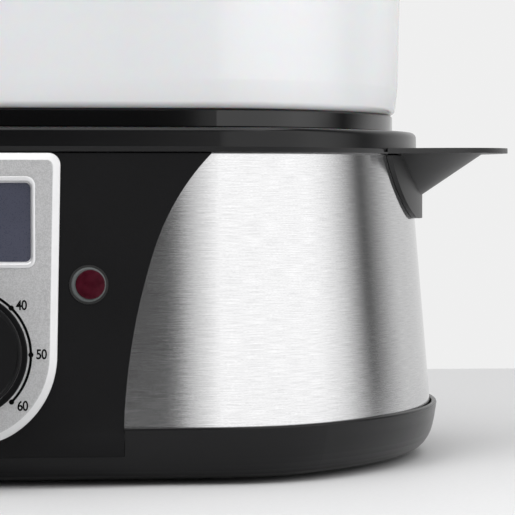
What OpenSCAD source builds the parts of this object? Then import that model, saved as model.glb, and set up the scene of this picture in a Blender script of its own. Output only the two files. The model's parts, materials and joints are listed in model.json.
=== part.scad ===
// Electric food steamer and egg cooker: oval heated base, drip tray, two stacking
// egg-and-steam baskets and a lid. Millimetres, +Z up, front faces -Y.
// Origin: on the table, under the middle of the base.

/* [Body] */
// Half depth of the base where the steel skin meets the base tray
body_half_d = 116; // [112:0.5:120]
// Half length of the flat front and back
flat_half = 77.5; // [74:0.5:80]
// Plan radius between the flat front and the round ends
corner_r = 52; // [48:1:56]
// Height of the steel skin's top edge
skin_top = 101.4; // [100:0.2:103]
// How far the skin leans in between its bottom and its top
skin_lean = 7; // [5:0.5:8]

/* [Fascia] */
// Half width of the black fascia at its foot
fascia_foot_half = 48; // [46:0.1:50]
// Radius of the lower stretch of the fascia's side edges
fascia_low_r = 195; // [185:1:210]
// Radius of the upper stretch, where the side edges sweep outwards
fascia_top_r = 76; // [72:1:84]

/* [Control panel] */
// Half width of the silver panel at its top
panel_half_w = 29.2; // [28.5:0.1:31]
// Radius of the panel's round foot, concentric with the knob
panel_foot_r = 28; // [27:0.5:28]
// Radius of the timer knob's skirt
knob_r = 18.4; // [16:0.2:18.6]
// How far the knob stands out of the panel
knob_h = 15; // [12:0.5:16]
// Width of the display window
lcd_w = 40.8; // [36:0.2:42]
// Height of the display window
lcd_h = 24.6; // [22:0.2:25]

/* [Fill spouts] */
// Half width of the collar that joins a spout to the steel
collar_half_w = 64.2; // [62:0.2:66]
// Radius of the collar's lower corners
collar_r = 31; // [29:0.5:32]
// How far a spout's lip reaches from the middle of the base
spout_reach = 188.3; // [185:0.1:190]

/* [Baskets] */
// Height from one basket's foot to the next one's foot
basket_pitch = 78; // [70:1:90]
// Radius of each egg cup in the basket's grid
egg_cup_r = 17; // [16:0.5:18]

/* [Hidden] */
$fn = 96;

// --- plan outline: a flat front and back, four corner arcs and two end arcs ---
corner_sweep = 39;
end_sweep = 180 - 2 * corner_sweep;
lap = 0.002;               // neighbouring stretches of a band overlap by this much
corner_y = body_half_d - corner_r;
end_r = corner_r + corner_y / cos(corner_sweep);
end_x = flat_half + (corner_r - end_r) * sin(corner_sweep);
body_half_w = end_x + end_r;

// --- heights ---
tray_bottom = 1.6;
tray_floor_top = 4.6;
tray_top = 18.1;
skin_bottom = 14;
skin_ref = 18.3;           // height where the skin's outside is on the plan outline
skin_t = 0.8;
rim_bottom = 101.7;
rim_top = 109.5;
flange_top = 103.9;        // top of the reservoir's flange, which carries the rim
tub_bottom = 40;
tub_floor_top = 42.4;
tray_ledge = 115.3;        // drip tray's ledge, which carries the lower basket
deck_bottom = 96;          // under the flange, above the control compartment
collar_z = 111.4;          // centre of the spouts' round-cornered collars, seen along X
wire_end_y = -95.8;        // the wires end just behind the board's connectors
function skin_d(z) = -(z - skin_ref) * skin_lean / (skin_top - skin_ref);

// --- control face: a plane that leans back with the fascia ---
face_z = 24;
face_d = 0.7;
face_tilt = atan(skin_lean / (skin_top - skin_ref));
fascia_t = 2.6;
fascia_foot_z = 9.4;       // the fascia's foot laps over the tray down to here
panel_t = 2;
panel_seat = 0.4;          // depth of the panel's seat in the fascia
panel_top = 77.7;          // up the face from face_z
knob_v = 16.4;             // the knob's height up the face from face_z
lcd_v = 56.5;
lcd_corner_r = 1.8;
bead_w = 1.6;              // the frame round the display
bead_h = 0.6;
pointer_rest = 225;        // the pointer lies at the bottom left, at zero minutes
pointer_in = 8;            // from the knob's edge in to the pointer's middle
lamp_u = 37.6;
lamp_v = 37.6;
lamp_r = 5.3;
board_w = -10.2;           // back of the circuit board, behind the face
board_t = 1.6;
bushing_r = 3.5;
nut_hole_r = 6.4;          // hole in the panel for the encoder's nut
shaft_r = 3;
running_gap = 0.05;
fit_gap = 0.2;             // round a piece that sits in a recess

// --- seats that the stacked pieces share, as offsets from the plan outline ---
neck_out = -17.2;
neck_in = -19.2;
foot_in = -16.7;
shelf_in = -24;
spout_inner_d = -50;       // further in than any part of a spout's scoop

// --- heater, at the middle of the reservoir's floor ---
heater_hole_r = 31;
heater_plate_r = 35.5;
heater_plate_z = 43.4;
heater_plate_top = 44.6;
coil_r = 20;
coil_tube_r = 3.2;
coil_leg_r = 3.6;
coil_z = 55;
leg_bottom = 27;           // lower ends of the coil's two cold legs
coil_gap_angle = 36;
leg_y = coil_r * sin(coil_gap_angle / 2);
leg_x = coil_r * cos(coil_gap_angle / 2);

foot_points = [[100, 72], [-100, 72], [100, -72], [-100, -72]];
foot_r = 9;
foot_h = 3;
screw_points = [[118, 34], [-118, 34], [62, -72], [-62, -72], [62, 78], [-62, 78]];
screw_r = 1.5;
screw_head_r = 3.5;
gland_z = 34;
gland_bore_r = 3.6;
gland_thread_r = 6;
gland_reach = 132.7;       // the gland's nose stands out as far as the knob does
wire_r = 1.3;

// ---------------------------------------------------------------- plan helpers

// One corner of a band with the given section; x is the offset from the plan outline.
module band_corner(section) {
    translate([flat_half, corner_y, 0])
        rotate([0, 0, 90])
            rotate_extrude(angle = -corner_sweep - lap)
                translate([corner_r, 0])
                    polygon(section);
}

// A stretch of band round the right-hand end, half_angle to each side of the X axis.
module end_band(section, half_angle = end_sweep / 2 + lap) {
    translate([end_x, 0, 0])
        for (m = [0, 1])
            mirror([0, m, 0])
                rotate_extrude(angle = half_angle)
                    translate([end_r, 0])
                        polygon(section);
}

module half_band(section) {
    end_band(section);
    band_corner(section);
    mirror([0, 1, 0]) band_corner(section);
    translate([0, body_half_d, 0])
        rotate([90, 0, 90])
            linear_extrude(height = 2 * (flat_half + lap), center = true)
                polygon(section);
}

// A closed band that follows the plan outline all the way round.
module band(section) {
    half_band(section);
    rotate([0, 0, 180]) half_band(section);
}

function arc_points(c, r, from, to, n) =
    [for (i = [0 : n]) c + r * [cos(from + (to - from) * i / n), sin(from + (to - from) * i / n)]];

// The plan outline at an offset, with a few points on each arc: only for the middle of plates.
function quarter_outline(d) = concat(
    arc_points([end_x, 0], end_r + d, 0, 90 - corner_sweep, 3),
    arc_points([flat_half, corner_y], corner_r + d, 90 - corner_sweep + 13, 90, 2));
function reversed(points) = [for (i = [len(points) - 1 : -1 : 0]) points[i]];
function outline(d) = let (q = quarter_outline(d)) concat(
    q,
    [for (p = reversed(q)) [-p[0], p[1]]],
    [for (p = q) [-p[0], -p[1]]],
    [for (p = reversed(q)) [p[0], -p[1]]]);

// A plate that follows the plan outline at offset d, exact at its edge.
module plate(d, z0, z1) {
    rim_w = 6;
    translate([0, 0, z0])
        linear_extrude(height = z1 - z0)
            polygon(outline(d - 4));
    band([[d - rim_w, z0], [d, z0], [d, z1], [d - rim_w, z1]]);
}

// A cylinder that lies along X, from x0 to x1, for round cuts through the ends.
module cylinder_x(r, x0, x1, y = 0, z = 0) {
    translate([x0, y, z]) rotate([0, 90, 0]) cylinder(r = r, h = x1 - x0);
}

// The spouts' collar shape, seen along X, shrunk all round by inset, from x0 to x1.
module collar_prism(inset, x0, x1) {
    r = collar_r - inset;
    corner_at = collar_half_w - collar_r;
    translate([x0, 0, collar_z])
        rotate([90, 0, 90])
            linear_extrude(height = x1 - x0) {
                square([2 * corner_at, 2 * r], center = true);
                for (s = [-1, 1])
                    translate([s * corner_at, 0]) circle(r = r);
            }
}

// A cylinder that lies along Y, from y0 to y1.
module cylinder_y(r, y0, y1, x = 0, z = 0) {
    translate([x, y0, z]) rotate([-90, 0, 0]) cylinder(r = r, h = y1 - y0);
}

module ring_z(r_out, r_in, z0, z1) {
    translate([0, 0, z0])
        difference() {
            cylinder(r = r_out, h = z1 - z0);
            translate([0, 0, -1]) cylinder(r = r_in, h = z1 - z0 + 2);
        }
}

// Children drawn on the control face: x across, y up the face, z out of it.
module on_face() {
    translate([0, -body_half_d - face_d, face_z])
        rotate([90 - face_tilt, 0, 0])
            children();
}

// A round-cornered rectangle, centred, with true arcs.
module rounded_rect(w, h, r) {
    square([w - 2 * r, h], center = true);
    square([w, h - 2 * r], center = true);
    for (x = [-1, 1], y = [-1, 1])
        translate([x * (w / 2 - r), y * (h / 2 - r)]) circle(r = r);
}

// ---------------------------------------------------------------- base shells

// The front view of the fascia: straight sides at the foot, then arcs that sweep outwards.
module fascia_front(gap = 0) {
    front_w = 180;
    difference() {
        translate([-front_w / 2, 0]) square([front_w, skin_top + 20]);
        for (m = [0, 1])
            mirror([m, 0]) translate([-gap, 0]) beside_fascia();
    }
}

// What lies to the right of the fascia's right-hand edge: two arcs, tangent where they join.
module beside_fascia() {
    arc_z = 11.5;
    join_z = 72;
    rise = join_z - arc_z;
    run = sqrt(fascia_low_r * fascia_low_r - rise * rise);
    arc_x = fascia_foot_half + fascia_low_r;
    share = 1 - fascia_top_r / fascia_low_r;
    translate([fascia_foot_half, -1]) square([100, arc_z + 1]);
    intersection() {
        translate([arc_x, arc_z]) circle(r = fascia_low_r, $fn = 256);
        translate([0, arc_z]) square([150, rise]);
    }
    intersection() {
        translate([arc_x - run * share, arc_z + rise * share]) circle(r = fascia_top_r, $fn = 256);
        translate([0, join_z]) square([150, 60]);
    }
}

module fascia_window(gap = 0) {
    translate([0, -body_half_d + 20, 0])
        rotate([90, 0, 0])
            linear_extrude(height = 60)
                fascia_front(gap);
}

module base_tray() {
    color("#1d1d1e")
    difference() {
        union() {
            band([[-14, tray_bottom], [-7.4, tray_bottom], [-5, 2.1], [-3, 3.1], [-1.5, 4.5],
                [-0.3, 6.3], [0.55, 8.2], [1.15, 10.2], [1.6, 12.4], [2, 15], [2.4, 17.4],
                [2.2, 17.9], [1.8, tray_top], [1.1, tray_top], [0.7, 17.8], [0.7, 13.9],
                [-0.9, 13.9], [-1.2, 11.5], [-2.6, 7.5], [-4, tray_floor_top],
                [-14, tray_floor_top]]);
            plate(-13, tray_bottom, tray_floor_top);
            for (p = screw_points)
                translate([p[0], p[1], tray_floor_top - 0.5]) cylinder(r = 5.5, h = 2.5);
        }
        // the fascia's foot drops into this notch
        translate([-fascia_foot_half - fit_gap, -body_half_d - 15, fascia_foot_z])
            cube([2 * (fascia_foot_half + fit_gap), 20, 20]);
        for (p = foot_points)
            translate([p[0], p[1], tray_bottom - 1])
                cylinder(r = foot_r + fit_gap, h = foot_h - tray_bottom + 1);
        for (p = screw_points)
            translate([p[0], p[1], 0]) {
                cylinder(r = screw_head_r + 0.3, h = 4.2);
                cylinder(r = screw_r + 0.4, h = 20);
            }
        // vent slots under the board
        for (x = [-30 : 10 : 30])
            translate([x, -40, 0]) cube([3, 26, 20], center = true);
    }
}

module steel_skin() {
    color("#c4c4c6")
    difference() {
        band([[skin_d(skin_bottom), skin_bottom], [skin_d(skin_top), skin_top],
            [skin_d(skin_top) - skin_t, skin_top], [skin_d(skin_bottom) - skin_t, skin_bottom]]);
        fascia_window(-0.15);
        collar_prism(2.2, 90, 180);
        collar_prism(2.2, -180, -90);
        cylinder_y(gland_thread_r + fit_gap, 90, 140, 0, gland_z);
    }
}

function fascia_out(z) = face_d - (z - face_z) * tan(face_tilt);

module front_fascia() {
    foot_z = fascia_foot_z;
    top_z = skin_top;
    color("#19191a")
    difference() {
        union() {
            intersection() {
                rotate([0, 0, 180])
                    translate([0, body_half_d, 0])
                        rotate([90, 0, 90])
                            linear_extrude(height = 156, center = true)
                                polygon([[2.7, foot_z], [3.1, foot_z + 0.5], [2, 14],
                                    [fascia_out(18.5), 18.5], [fascia_out(top_z), top_z],
                                    [fascia_out(top_z) - fascia_t, top_z],
                                    [fascia_out(18.5) - fascia_t, 18.5], [-1, 14], [-0.2, foot_z]]);
                fascia_window(0.15);
            }
            // posts that carry the circuit board
            on_face()
                for (p = board_screw_points())
                    translate([p[0], p[1], board_w + board_t])
                        cylinder(r = 3, h = -board_w - board_t - 1);
        }
        on_face() {
            translate([0, knob_v, -20]) cylinder(r = bushing_r + fit_gap, h = 30);
            translate([lamp_u, lamp_v, -20]) cylinder(r = lamp_r + 0.7, h = 30);
            translate([0, 0, -panel_seat]) linear_extrude(height = 5) panel_front(-0.1);
            translate([0, lcd_v, -10]) linear_extrude(height = 20) rounded_rect(lcd_w + 2, lcd_h + 2, 2);
            for (p = board_screw_points())
                translate([p[0], p[1], board_w - 1]) cylinder(r = 1.1, h = 8);
        }
    }
}

module top_rim() {
    color("#1f1f20")
    band([[-7, rim_bottom], [-5.6, rim_bottom], [-4.9, 102.4], [-4.8, 103.4], [-4.85, 107],
        [-5.15, 108.3], [-5.9, 109.2], [-6.9, rim_top], [-21.5, rim_top], [-21.5, flange_top],
        [-19.7, flange_top], [-19.7, 107.3], [-8.6, 107.3], [-7.2, 106.2]]);
}

module water_reservoir() {
    wall = 2.2;
    out_d = -24;
    pocket_y = -80;            // the control compartment reaches back to here
    pocket_half_w = 64;
    post_r = 4.5;
    color("#2a2a2c")
    difference() {
        union() {
            difference() {
                union() {
                    plate(out_d, tub_bottom, flange_top);
                    band([[-30, skin_top], [-7.25, skin_top], [-7.25, flange_top], [-30, flange_top]]);
                }
                // the control compartment is in front of the tub
                translate([-pocket_half_w, -body_half_d, 0])
                    cube([2 * pocket_half_w, body_half_d + pocket_y, deck_bottom + 3]);
            }
            for (p = screw_points)
                translate([p[0], p[1], tray_floor_top + 2])
                    cylinder(r = post_r, h = tub_bottom - tray_floor_top - 1);
        }
        difference() {
            plate(out_d - wall, tub_floor_top, flange_top + 1);
            translate([-pocket_half_w - wall, -body_half_d, 0])
                cube([2 * (pocket_half_w + wall), body_half_d + pocket_y + wall, deck_bottom + 5.4]);
        }
        cylinder(r = heater_hole_r, h = 60);
        for (p = screw_points)
            translate([p[0], p[1], 0]) cylinder(r = screw_r, h = 22);
        // the fill spouts' gutters come through the end walls
        for (s = [0, 180])
            rotate([0, 0, s])
                intersection() {
                    collar_prism(3.4, 112, 150);
                    translate([110, -70, 60]) cube([45, 140, skin_top - 60]);
                }
    }
}

module rubber_feet() {
    edge = 0.8;
    color("#333335")
    for (p = foot_points)
        translate([p[0], p[1], 0]) {
            cylinder(r1 = foot_r - edge, r2 = foot_r, h = edge);
            translate([0, 0, edge]) cylinder(r = foot_r, h = foot_h - edge);
        }
}

module base_screws() {
    slot_w = 0.9;
    slot_l = 4.6;
    color("#8d8d90")
    for (p = screw_points)
        translate([p[0], p[1], 2]) {
            difference() {
                cylinder(r = screw_head_r, h = 2.2);
                cube([slot_w, slot_l, 2], center = true);
                cube([slot_l, slot_w, 2], center = true);
            }
            cylinder(r = screw_r, h = 14);
        }
}

// ---------------------------------------------------------------- controls

module panel_front(inset = 0) {
    corner = 3 - inset / 2;
    w = panel_half_w - inset;
    top = panel_top - inset;
    r = panel_foot_r - inset;
    polygon([[-r, knob_v], [r, knob_v], [w, top - corner], [w - corner, top],
        [corner - w, top], [-w, top - corner]]);
    translate([0, knob_v]) circle(r = r);
    for (s = [-1, 1])
        translate([s * (w - corner), top - corner]) circle(r = corner);
}

module control_panel() {
    color("#b4b4b6")
    on_face()
        difference() {
            union() {
                translate([0, 0, running_gap - panel_seat])
                    linear_extrude(height = panel_t + panel_seat - 0.6)
                        panel_front();
                translate([0, 0, 1]) linear_extrude(height = panel_t - 1) panel_front(0.8);
            }
            translate([0, lcd_v, -1]) linear_extrude(height = 5) rounded_rect(lcd_w, lcd_h, lcd_corner_r);
            translate([0, knob_v, -1]) cylinder(r = nut_hole_r, h = 5);
        }
}

module lcd_frame() {
    color("#d8d8da")
    on_face()
        translate([0, lcd_v, panel_t])
            linear_extrude(height = bead_h)
                difference() {
                    rounded_rect(lcd_w + 2 * bead_w, lcd_h + 2 * bead_w, lcd_corner_r + 1.2);
                    rounded_rect(lcd_w, lcd_h, lcd_corner_r);
                }
}

module lcd_window() {
    color("#4a4d5c")
    on_face()
        translate([0, lcd_v, 0.1])
            linear_extrude(height = 1)
                rounded_rect(lcd_w - fit_gap, lcd_h - fit_gap, lcd_corner_r - 0.1);
}

module lcd_module() {
    depth = 5.4;
    color("#6a6f6c")
    on_face()
        translate([0, lcd_v, -depth])
            linear_extrude(height = depth - panel_seat)
                rounded_rect(lcd_w + 1.6, lcd_h + 1.6, lcd_corner_r + 0.1);
}

module timer_knob() {
    skirt_foot = panel_t + 0.4;
    skirt_top = skirt_foot + 3;
    color("#141415")
    on_face()
        translate([0, knob_v, 0])
            difference() {
                rotate_extrude()
                    polygon([[0, skirt_foot], [knob_r - 1.2, skirt_foot], [knob_r, skirt_foot + 0.6],
                        [knob_r, skirt_top - 0.8], [knob_r - 0.6, skirt_top],
                        [knob_r - 1.3, skirt_top + 0.2], [knob_r - 1.9, knob_h + panel_t - 2],
                        [knob_r - 2.4, knob_h + panel_t - 0.8], [knob_r - 3.6, knob_h + panel_t],
                        [knob_r - 5, knob_h + panel_t - 0.1], [0, knob_h + panel_t - 1.2]]);
                // hub bore for the shaft, and the hollow round it for the nut
                translate([0, 0, -1]) cylinder(r = shaft_r, h = 11.4);
                translate([0, 0, -1]) cylinder(r = nut_hole_r + fit_gap, h = 5.6);
                // pointer slot in the face
                rotate([0, 0, pointer_rest])
                    translate([knob_r - pointer_in, 0, knob_h + panel_t - 0.2])
                        cube([8, 1.9, 3.2], center = true);
            }
}

module knob_pointer() {
    color("#e8e8e8")
    on_face()
        translate([0, knob_v, 0])
            rotate([0, 0, pointer_rest])
                translate([knob_r - pointer_in, 0, knob_h + panel_t - 1.1])
                    cube([7.8, 1.7, 1.4], center = true);
}

module encoder_shaft() {
    color("#b8b8ba")
    on_face()
        translate([0, knob_v, -2.2])
            cylinder(r = shaft_r - running_gap, h = 12.4);
}

module encoder_body() {
    color("#3c5a48")
    on_face()
        translate([0, knob_v, 0])
            difference() {
                union() {
                    translate([0, 0, -5.7]) cube([14, 14, 5.8], center = true);
                    translate([0, 0, -3]) cylinder(r = bushing_r, h = 6.4);
                }
                translate([0, 0, -2.3]) cylinder(r = shaft_r, h = 12);
            }
}

module encoder_nut() {
    color("#a9a9ac")
    on_face()
        translate([0, knob_v, 0.1])
            difference() {
                cylinder(r = 5.6, h = 1.8, $fn = 6);
                translate([0, 0, -1]) cylinder(r = bushing_r, h = 4);
            }
}

module indicator_holder() {
    color("#101011")
    on_face()
        translate([lamp_u, lamp_v, 0])
            difference() {
                union() {
                    translate([0, 0, -8.4]) cylinder(r = lamp_r + 0.6, h = 8.7);
                    translate([0, 0, -5.6]) cylinder(r = lamp_r + 1.8, h = 2.8);
                }
                translate([0, 0, -10]) cylinder(r = lamp_r, h = 12);
            }
}

module indicator_lens() {
    dome_r = 9;
    color("#5a0814")
    on_face()
        translate([lamp_u, lamp_v, 0])
            intersection() {
                translate([0, 0, -3]) cylinder(r = lamp_r - 0.05, h = 8);
                translate([0, 0, 1.4 - dome_r]) sphere(r = dome_r);
            }
}

module indicator_led() {
    color("#c9483c")
    on_face()
        translate([lamp_u, lamp_v, board_w + board_t]) {
            cylinder(r = 1.5, h = 3.4);
            cylinder(r = 1.9, h = 0.8);
            translate([0, 0, 3.4]) sphere(r = 1.5);
        }
}

function board_screw_points() = [[-42, 4], [42, 4], [-42, 66], [42, 66]];

module control_board() {
    color("#1f5a3a")
    on_face()
        difference() {
            translate([-47, -1, board_w]) cube([94, 72, board_t]);
            for (p = board_screw_points())
                translate([p[0], p[1], board_w - 1]) cylinder(r = 1.7, h = 4);
        }
}

module board_screws() {
    color("#8d8d90")
    on_face()
        for (p = board_screw_points())
            translate([p[0], p[1], board_w]) {
                translate([0, 0, -1.8]) cylinder(r = 2.8, h = 1.8);
                cylinder(r = 1.1, h = 6.4);
            }
}

module power_relay() {
    color("#2b5f9e")
    on_face() translate([-36, 34, board_w - 15]) cube([19, 15, 15]);
}

module buzzer() {
    color("#151515")
    on_face()
        translate([26, 44, board_w - 8.5])
            difference() {
                cylinder(r = 6, h = 8.5);
                translate([0, 0, -1]) cylinder(r = 1.2, h = 2);
            }
}

module capacitor() {
    color("#2d3a78")
    on_face()
        for (x = [2, 14])
            translate([x, 22, board_w - 14]) cylinder(r = 4.2, h = 14);
}

module wire_connector() {
    color("#e2ddcf")
    on_face()
        for (x = [-30, 22])
            translate([x, 6, board_w - 9]) cube([16, 6, 9]);
}

// ---------------------------------------------------------------- heater

module heater_plate() {
    color("#b9b9bb")
    difference() {
        union() {
            translate([0, 0, heater_plate_z])
                cylinder(r = heater_plate_r, h = heater_plate_top - heater_plate_z);
            translate([0, 0, heater_plate_z - 3]) cylinder(r = heater_hole_r - 2, h = 3.5);
        }
        for (s = [-1, 1])
            translate([leg_x, s * leg_y, 30]) cylinder(r = coil_leg_r + running_gap, h = 30);
    }
}

module heater_seal() {
    color("#a04a3a")
    ring_z(heater_plate_r - 0.5, heater_hole_r + 0.5, tub_floor_top, heater_plate_z);
}

module heating_coil() {
    color("#9a9a9c")
    union() {
        translate([0, 0, coil_z])
            rotate([0, 0, coil_gap_angle / 2])
                rotate_extrude(angle = 360 - coil_gap_angle)
                    translate([coil_r, 0]) circle(r = coil_tube_r, $fn = 48);
        for (s = [-1, 1])
            translate([leg_x, s * leg_y, leg_bottom])
                cylinder(r = coil_leg_r, h = coil_z + coil_leg_r - leg_bottom);
    }
}

module heater_nuts() {
    color("#b08d3c")
    for (s = [-1, 1])
        translate([leg_x, s * leg_y, 36.4])
            difference() {
                cylinder(r = 5.6, h = 4, $fn = 6);
                translate([0, 0, -1]) cylinder(r = coil_leg_r + running_gap, h = 6);
            }
}

module thermostat() {
    color("#c8b48a")
    union() {
        translate([-8, 0, 31.4]) cylinder(r = 8, h = 9);
        for (y = [-3.5, 3.5])
            translate([-8, y, 28]) cube([5, 0.8, 8], center = true);
    }
}

module thermal_fuse() {
    color("#b9a24a")
    union() {
        cylinder_x(2.2, -20, -2, -18, 38.1);
        cylinder_x(0.6, -26, 4, -18, 38.1);
    }
}

module turbo_ring() {
    ring_in = 28.4;
    ring_out = 30.2;
    foot_out = 33;
    ring_bottom = heater_plate_top + 0.2;
    ring_top = 84;
    rib_h = 24;
    color("#33373a")
    difference() {
        union() {
            ring_z(ring_out, ring_in, ring_bottom, ring_top);
            ring_z(foot_out, ring_in, ring_bottom, heater_plate_top + 2);
            for (a = [45 : 90 : 315])
                rotate([0, 0, a]) translate([ring_in + 0.2, -1, ring_top - rib_h]) cube([4, 2, rib_h]);
        }
        // water gets in through notches at the foot
        for (a = [0 : 45 : 315])
            rotate([0, 0, a]) translate([24, -3, 40]) cube([14, 6, 9.6]);
    }
}

// ---------------------------------------------------------------- mains side

module cord_gland() {
    skin_y = body_half_d + skin_d(gland_z);
    flange_r = 9;
    cut_z = 12;
    color("#202021")
    difference() {
        union() {
            // flange, with its back cut to the skin's lean
            difference() {
                cylinder_y(flange_r, skin_y - 2, skin_y + 2.3, 0, gland_z);
                rotate([90, 0, 90])
                    linear_extrude(height = 3 * flange_r, center = true)
                        polygon([for (z = [-cut_z, cut_z])
                            [body_half_d + skin_d(gland_z + z) + running_gap, gland_z + z],
                            [body_half_d - 20, gland_z + cut_z], [body_half_d - 20, gland_z - cut_z]]);
            }
            cylinder_y(gland_thread_r, skin_y - 14, skin_y + 3, 0, gland_z);
            translate([0, skin_y + 2, gland_z])
                rotate([-90, 0, 0]) cylinder(r1 = 6.8, r2 = 5, h = gland_reach - skin_y - 2);
        }
        cylinder_y(gland_bore_r, 80, 140, 0, gland_z);
    }
}

module gland_nut() {
    skin_y = body_half_d + skin_d(gland_z);
    color("#2c2c2e")
    difference() {
        translate([0, skin_y - 2.6, gland_z])
            rotate([90, 0, 0]) cylinder(r = 10, h = 4, $fn = 6);
        cylinder_y(gland_thread_r + running_gap, 80, 140, 0, gland_z);
    }
}

module terminal_block() {
    color("#dcdad0")
    difference() {
        translate([-16, 70, tray_floor_top]) cube([32, 12, 14]);
        for (x = [-10, 0, 10])
            translate([x, 76, 14]) cylinder(r = 2.2, h = 10);
        for (x = [-10, 0, 10])
            cylinder_y(1.6, 66, 90, x, 9);
    }
}

// A round wire swept along points: eight sides, one ring at each point.
function unit(v) = v / norm(v);
function tangent(p, i) = unit(p[min(i + 1, len(p) - 1)] - p[max(i - 1, 0)]);
module wire(points, r) {
    sides = 8;
    count = len(points);
    ring_points = [for (i = [0 : count - 1])
        let (t = tangent(points, i), a = unit(cross(t, [0.31, 0.17, 0.93])), b = cross(t, a))
            for (k = [0 : sides - 1]) points[i] + r * (cos(360 * k / sides) * a + sin(360 * k / sides) * b)];
    skin = [for (i = [0 : count - 2], k = [0 : sides - 1])
        let (n = (k + 1) % sides)
            [i * sides + k, i * sides + n, (i + 1) * sides + n, (i + 1) * sides + k]];
    caps = [[for (k = [sides - 1 : -1 : 0]) k],
        [for (k = [0 : sides - 1]) (count - 1) * sides + k]];
    polyhedron(points = ring_points, faces = [for (f = concat(skin, caps)) reversed(f)]);
}

function bezier(a, b, c, d, n = 14) = [for (i = [0 : n]) let (t = i / n)
    pow(1 - t, 3) * a + 3 * pow(1 - t, 2) * t * b + 3 * (1 - t) * t * t * c + pow(t, 3) * d];

module mains_wires() {
    color("#7a5a3c")
    for (x = [-10, 0, 10])
        wire(bezier([x * 0.24, 100, gland_z], [x * 0.26, 93, gland_z], [x, 96, 9], [x, 82.4, 9]), 1.1);
}

module heater_wires() {
    color("#c43c30")
    for (s = [-1, 1])
        wire(bezier([leg_x, s * leg_y, leg_bottom - 0.6], [leg_x, s * leg_y, 10],
            [-s * 5 - 22, -70, 12], [-s * 5 - 22, wire_end_y, 32]), wire_r);
}

module feed_wires() {
    color("#3a6a9a")
    for (x = [-10, 0, 10])
        wire(bezier([x, 69.6, 9], [x * 0.6 - 34, 30, 7], [x * 0.5 + 30, -60, 7],
            [x * 0.4 + 34, wire_end_y, 32]), 1.1);
}

module sensor_wires() {
    color("#d8c23a")
    for (s = [-1, 1])
        wire(bezier([-8, s * 3.5, 23.6], [-8, s * 3.5, 17], [s * 1.2 + 24.4, -70, 24],
            [s * 1.2 + 24.4, wire_end_y, 32]), 0.8);
}

// ---------------------------------------------------------------- fill spouts

// A scoop: two upright cones side by side along Y, with flat sides that join them.
module scoop(r0, r1, z0, z1) {
    apart = 25.7;
    for (s = [-1, 1])
        translate([0, s * apart, z0]) cylinder(r1 = r0, r2 = r1, h = z1 - z0);
    rotate([90, 0, 0])
        linear_extrude(height = 2 * apart, center = true)
            polygon([[-r0, z0], [r0, z0], [r1, z1], [-r1, z1]]);
}

module spout_body() {
    lip_t = 1.7;
    lip_r = 70;
    lip_z = 101.9;             // underside of the lip at its root
    lip_root = 136;
    lip_tilt = 0.8;            // the lip rises a little towards its tip
    scoop_x = 144;
    scoop_z = 87;
    scoop_top = 102.6;
    scoop_flare = 1.48;        // growth of the scoop's radius per millimetre of height
    scoop_wall = 2.4;
    scoop_r = 8.6;
    collar_face_r = 112;       // the collar's outside is an upright cylinder
    collar_face_x = 45.7;
    collar_wall = 1.8;
    gutter_top = 101.2;
    steel = [for (z = [70, skin_top]) [skin_d(z) + 0.1, z]];
    inside = concat([[spout_inner_d, 70]], steel, [[spout_inner_d, skin_top]]);
    under_rim = [[spout_inner_d, skin_top - 0.1], [-4.6, skin_top - 0.1], [-4.6, 120],
        [spout_inner_d, 120]];
    difference() {
        union() {
            translate([lip_root, 0, lip_z])
                rotate([0, -lip_tilt, 0])
                    linear_extrude(height = lip_t)
                        intersection() {
                            translate([spout_reach - lip_r - lip_root, 0]) circle(r = lip_r);
                            translate([-10, -80]) square([80, 160]);
                        }
            translate([scoop_x, 0, 0])
                scoop(scoop_r, scoop_r + scoop_flare * (scoop_top - scoop_z), scoop_z, scoop_top);
            intersection() {
                collar_prism(0, 125, 175);
                translate([collar_face_x, 0, 70]) cylinder(r = collar_face_r, h = lip_z + 0.5 - 70);
            }
        }
        end_band(inside, 50);
        end_band(under_rim, 50);
        translate([scoop_x, 0, 0])
            scoop(scoop_r - scoop_wall + scoop_flare, scoop_r - scoop_wall + scoop_flare * 21,
                scoop_z + 1, scoop_z + 21);
        intersection() {
            collar_prism(5.6, 125, 170);
            translate([collar_face_x, 0, 70])
                cylinder(r = collar_face_r - collar_wall, h = gutter_top - 70);
        }
    }
    // gutter that carries the water through the skin to the reservoir
    difference() {
        intersection() {
            collar_prism(4, 105, 170);
            translate([collar_face_x, 0, 70])
                cylinder(r = collar_face_r - collar_wall + 0.1, h = gutter_top - 70);
            end_band([[-27.5, 70], [0, 70], [0, gutter_top], [-27.5, gutter_top]], 50);
        }
        collar_prism(5.6, 100, 175);
    }
}

module fill_spout_right() {
    color("#28282a") spout_body();
}

module fill_spout_left() {
    color("#28282a") mirror([1, 0, 0]) spout_body();
}

// ---------------------------------------------------------------- stacked pieces

module drip_tray() {
    floor_z = 102;
    chimney_r = 24;
    color("#060607")
    difference() {
        union() {
            band([[-13.4, rim_top], [-13, rim_top + 0.4], [-13, tray_ledge - 0.6],
                [-13.6, tray_ledge], [neck_out, tray_ledge], [neck_out, 118.7], [neck_out - 0.5, 119.3],
                [neck_in + 0.5, 119.3], [neck_in, 118.7], [neck_in, 111.7], [-29, 111.5],
                [-29, floor_z + 2], [-36, floor_z + 2], [-36, floor_z], [-27.8, floor_z],
                [-27.2, floor_z + 0.6], [-27.2, rim_top]]);
            plate(-34, floor_z, floor_z + 2);
            translate([0, 0, floor_z]) cylinder(r = chimney_r + 2, h = 9);
            for (a = [0 : 90 : 270])
                rotate([0, 0, a]) translate([chimney_r - 0.4, -1.2, floor_z]) cube([4, 2.4, 16]);
            translate([0, 0, 117]) cylinder(r = chimney_r + 5, h = 1.6);
        }
        translate([0, 0, floor_z - 1]) cylinder(r = chimney_r, h = 16);
    }
}

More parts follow.
